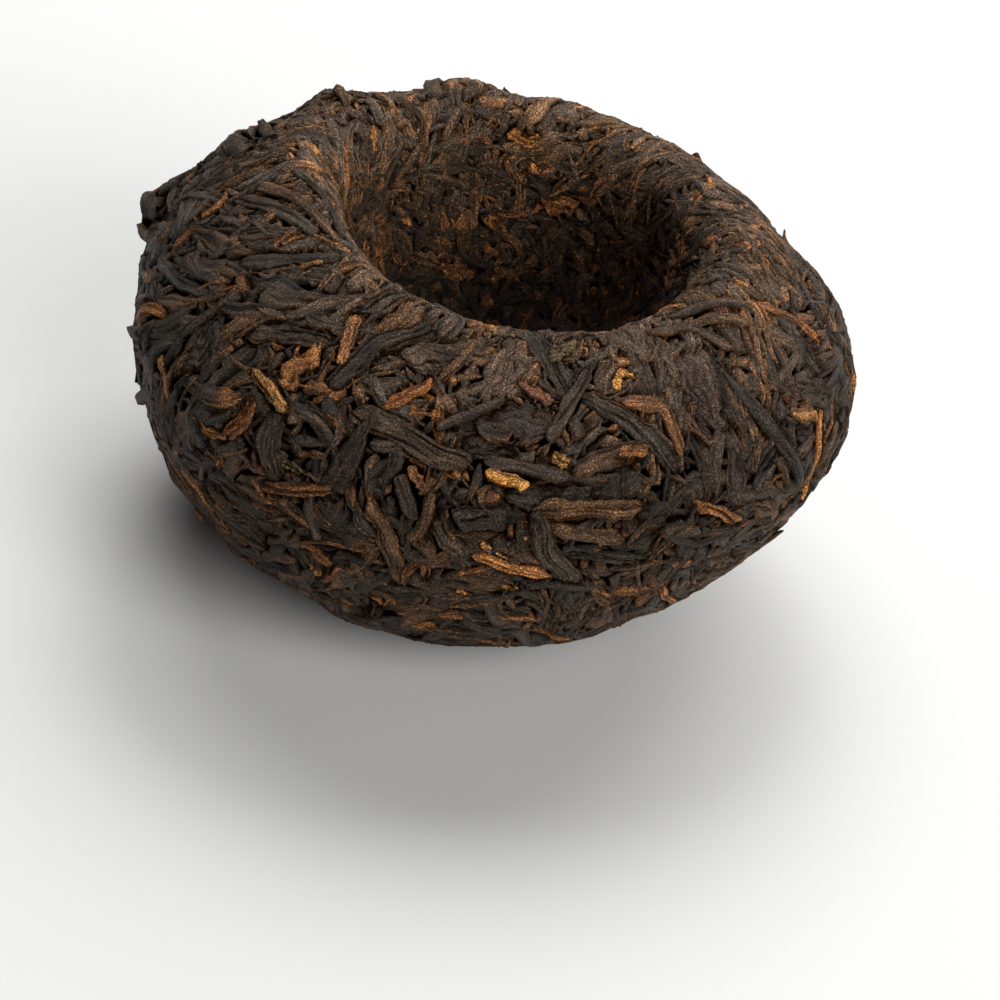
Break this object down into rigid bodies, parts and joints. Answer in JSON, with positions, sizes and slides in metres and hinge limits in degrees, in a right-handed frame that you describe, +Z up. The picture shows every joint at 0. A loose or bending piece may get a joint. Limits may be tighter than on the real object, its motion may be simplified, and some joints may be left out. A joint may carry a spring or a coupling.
{
  "type": "tuocha",
  "caption": "Nest-shaped cake of pressed dark tea leaves, rounded below with a deep round hollow in its top; pieces are broken off it to brew.",
  "frame": {"origin": "middle of the part's box on the surface that it rests on", "axes": "+Z up out of the hollow; the pictured side faces -Y"},
  "size_m": [0.0816, 0.0814, 0.0442],
  "materials": {
    "tea": "dry pressed leaves, dark brown to black with rust and golden tips, dull with a faint sheen"
  },
  "bodies": {
    "root": {"tuocha": "tea"}
  },
  "joints": []
}
